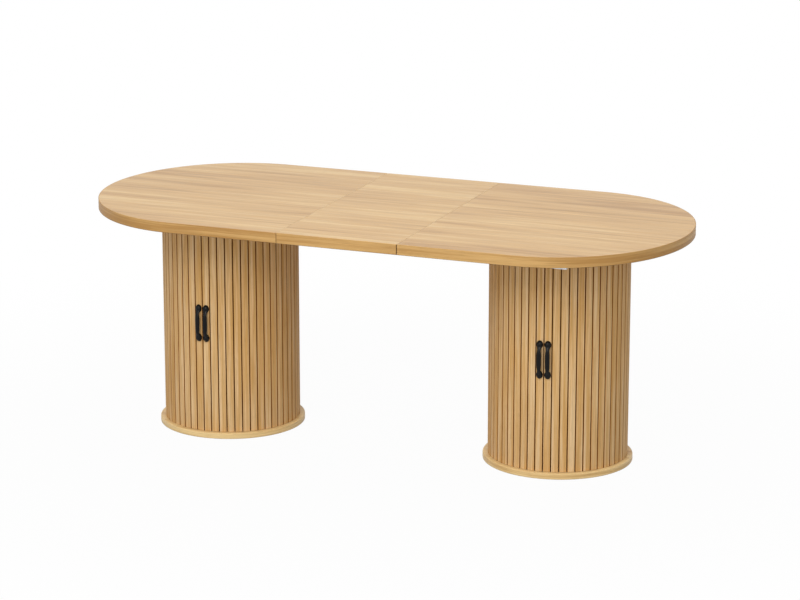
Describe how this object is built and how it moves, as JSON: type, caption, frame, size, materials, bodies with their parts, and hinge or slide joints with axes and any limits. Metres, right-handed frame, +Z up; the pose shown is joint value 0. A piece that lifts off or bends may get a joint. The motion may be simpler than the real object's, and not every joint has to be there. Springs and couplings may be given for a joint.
{
  "type": "kitchen table with storage cabinet",
  "caption": "Round-ended extending table with a drop-in leaf on slatted drum cabinets, with tambour doors that slide round the drums and black bow handles.",
  "frame": {"origin": "on the floor under the middle of the top, with the leaf in", "axes": "+X along the table to the right of a person facing the cabinet doors, +Z up, doors face -Y"},
  "size_m": [1.9498, 0.91, 0.76],
  "materials": {
    "top_oak": "satin oak-look board, grain along the table",
    "edge_oak": "satin oak-look edge band",
    "slat_oak": "satin oak-look slat, grain upright",
    "plate_oak": "satin oak-look board",
    "carcass_board": "matt oak-look board",
    "back_board": "matt thin curved board",
    "pin_beech": "turned hardwood",
    "canvas": "matt woven cloth",
    "handle_black": "matt black",
    "rail_aluminium": "satin extruded",
    "steel": "zinc-plated",
    "glide_plastic": "matt"
  },
  "bodies": {
    "left_half": {"left_top_panel": "top_oak", "left_edge_band": "edge_oak", "left_locating_pins": "pin_beech", "front_left_rail": "rail_aluminium", "rear_left_rail": "rail_aluminium", "left_rail_screws": "steel", "left_drum_base_plate": "plate_oak", "left_drum_glides": "glide_plastic", "left_drum_top_plate": "plate_oak", "left_drum_left_side_panel": "carcass_board", "left_drum_right_side_panel": "carcass_board", "left_drum_back_panel": "back_board", "left_drum_shelf": "carcass_board", "left_drum_shelf_pins": "steel", "left_drum_panel_screws": "steel", "left_drum_top_screws": "steel"},
    "runners": {"front_runner": "rail_aluminium", "rear_runner": "rail_aluminium"},
    "right_half": {"right_top_panel": "top_oak", "right_edge_band": "edge_oak", "right_locating_pins": "pin_beech", "front_right_rail": "rail_aluminium", "rear_right_rail": "rail_aluminium", "right_rail_screws": "steel", "right_drum_base_plate": "plate_oak", "right_drum_glides": "glide_plastic", "right_drum_top_plate": "plate_oak", "right_drum_left_side_panel": "carcass_board", "right_drum_right_side_panel": "carcass_board", "right_drum_back_panel": "back_board", "right_drum_shelf": "carcass_board", "right_drum_shelf_pins": "steel", "right_drum_panel_screws": "steel", "right_drum_top_screws": "steel"},
    "leaf": {"leaf_panel": "top_oak", "leaf_edge_bands": "edge_oak"},
    "left_drum_left_door": {"left_drum_left_door_slats": "slat_oak", "left_drum_left_door_lead_slat": "slat_oak", "left_drum_left_door_canvas": "canvas", "left_drum_left_door_handle": "handle_black", "left_drum_left_door_handle_screws": "steel"},
    "left_drum_right_door": {"left_drum_right_door_slats": "slat_oak", "left_drum_right_door_lead_slat": "slat_oak", "left_drum_right_door_canvas": "canvas", "left_drum_right_door_handle": "handle_black", "left_drum_right_door_handle_screws": "steel"},
    "right_drum_left_door": {"right_drum_left_door_slats": "slat_oak", "right_drum_left_door_lead_slat": "slat_oak", "right_drum_left_door_canvas": "canvas", "right_drum_left_door_handle": "handle_black", "right_drum_left_door_handle_screws": "steel"},
    "right_drum_right_door": {"right_drum_right_door_slats": "slat_oak", "right_drum_right_door_lead_slat": "slat_oak", "right_drum_right_door_canvas": "canvas", "right_drum_right_door_handle": "handle_black", "right_drum_right_door_handle_screws": "steel"}
  },
  "joints": [
    {"name": "extension", "type": "slide", "parent": "left_half", "child": "right_half", "axis": [1, 0, 0], "range_m": [0, 0.06]},
    {"name": "runner_travel", "type": "slide", "parent": "left_half", "child": "runners", "axis": [1, 0, 0], "range_m": [0, 0.03]},
    {"name": "leaf_lift", "type": "slide", "parent": "left_half", "child": "leaf", "axis": [0, 0, 1], "range_m": [0, 0.25]},
    {"name": "left_drum_left_door_turn", "type": "hinge", "parent": "left_half", "child": "left_drum_left_door", "pos_m": [-0.562, 0, 0], "axis": [0, 0, -1], "range_deg": [0, 60]},
    {"name": "left_drum_right_door_turn", "type": "hinge", "parent": "left_half", "child": "left_drum_right_door", "pos_m": [-0.562, 0, 0], "axis": [0, 0, 1], "range_deg": [0, 60]},
    {"name": "right_drum_left_door_turn", "type": "hinge", "parent": "right_half", "child": "right_drum_left_door", "pos_m": [0.562, 0, 0], "axis": [0, 0, -1], "range_deg": [0, 66]},
    {"name": "right_drum_right_door_turn", "type": "hinge", "parent": "right_half", "child": "right_drum_right_door", "pos_m": [0.562, 0, 0], "axis": [0, 0, 1], "range_deg": [0, 53]}
  ],
  "couplings": [
    {"joint": "runner_travel", "follows": "extension", "ratio": 0.5}
  ]
}
